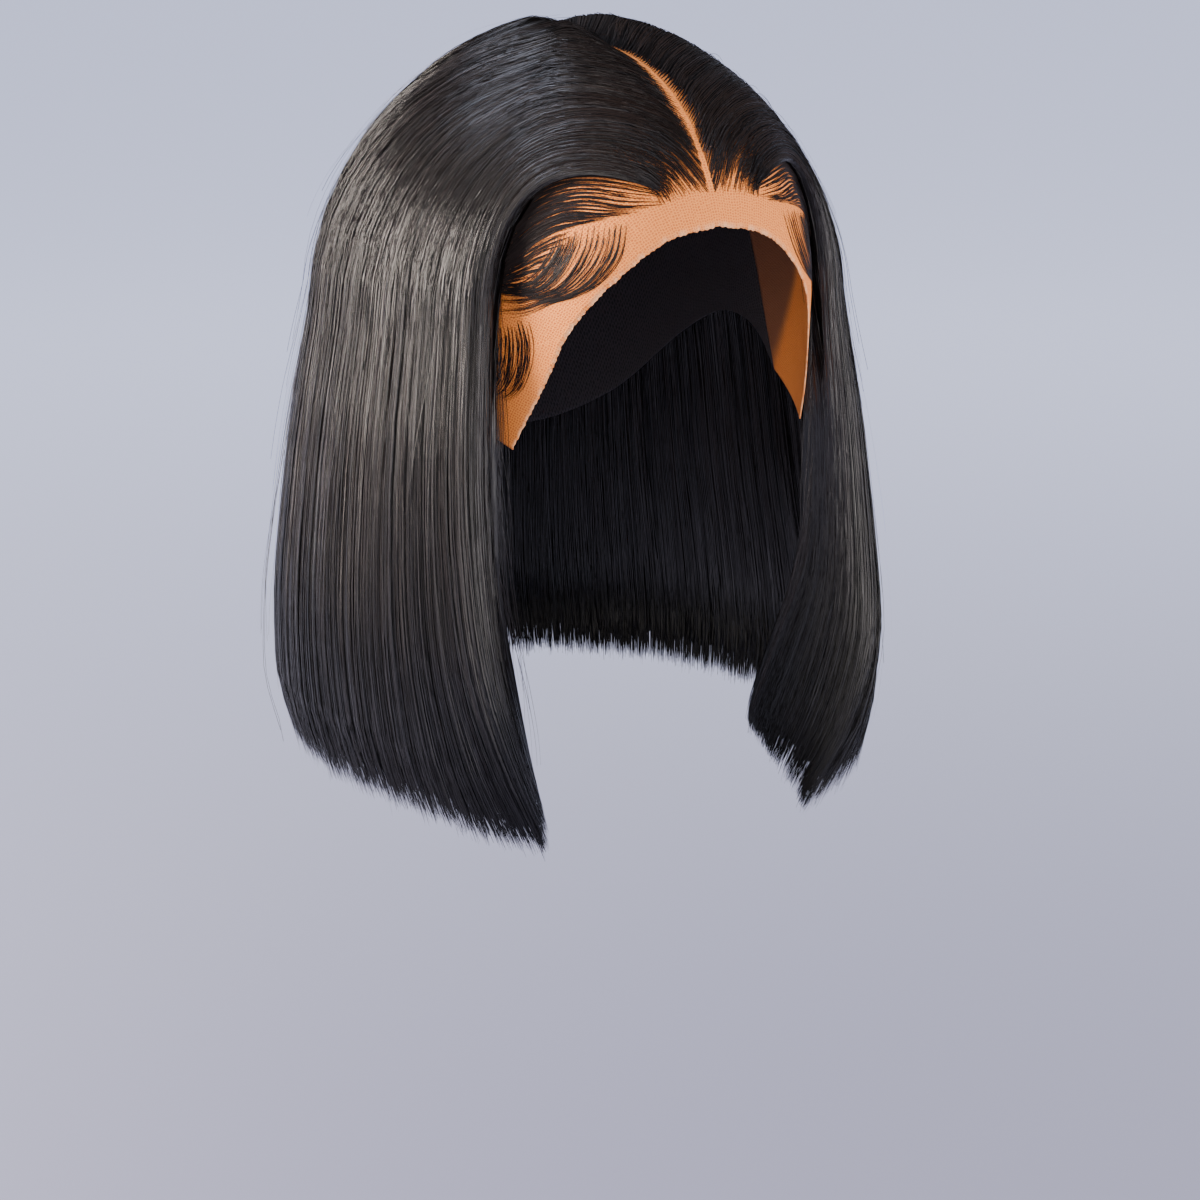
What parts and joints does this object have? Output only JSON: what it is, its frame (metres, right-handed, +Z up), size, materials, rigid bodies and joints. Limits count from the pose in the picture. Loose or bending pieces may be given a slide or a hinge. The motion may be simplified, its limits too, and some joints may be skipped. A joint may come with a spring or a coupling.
{
  "type": "bob wig",
  "caption": "Straight chin-to-shoulder bob wig with a middle parting, a hollow cap for the head and a fine lace front along the hairline, held up by the head that wears it.",
  "frame": {"origin": "inside top of the cap, where the crown of the head that holds the wig rests", "axes": "+Z up, the face looks towards -Y, the wearer's right is -X"},
  "size_m": [0.242, 0.2287, 0.3121],
  "materials": {
    "lace": "fine knotted net, matt, skin tan",
    "cap": "knitted stretch net, matt black",
    "hair": "straight silky strands, off black, long soft highlight"
  },
  "bodies": {
    "root": {"lace_front": "lace", "stretch_cap": "cap", "hair_right": "hair", "hair_left": "hair"}
  },
  "joints": []
}
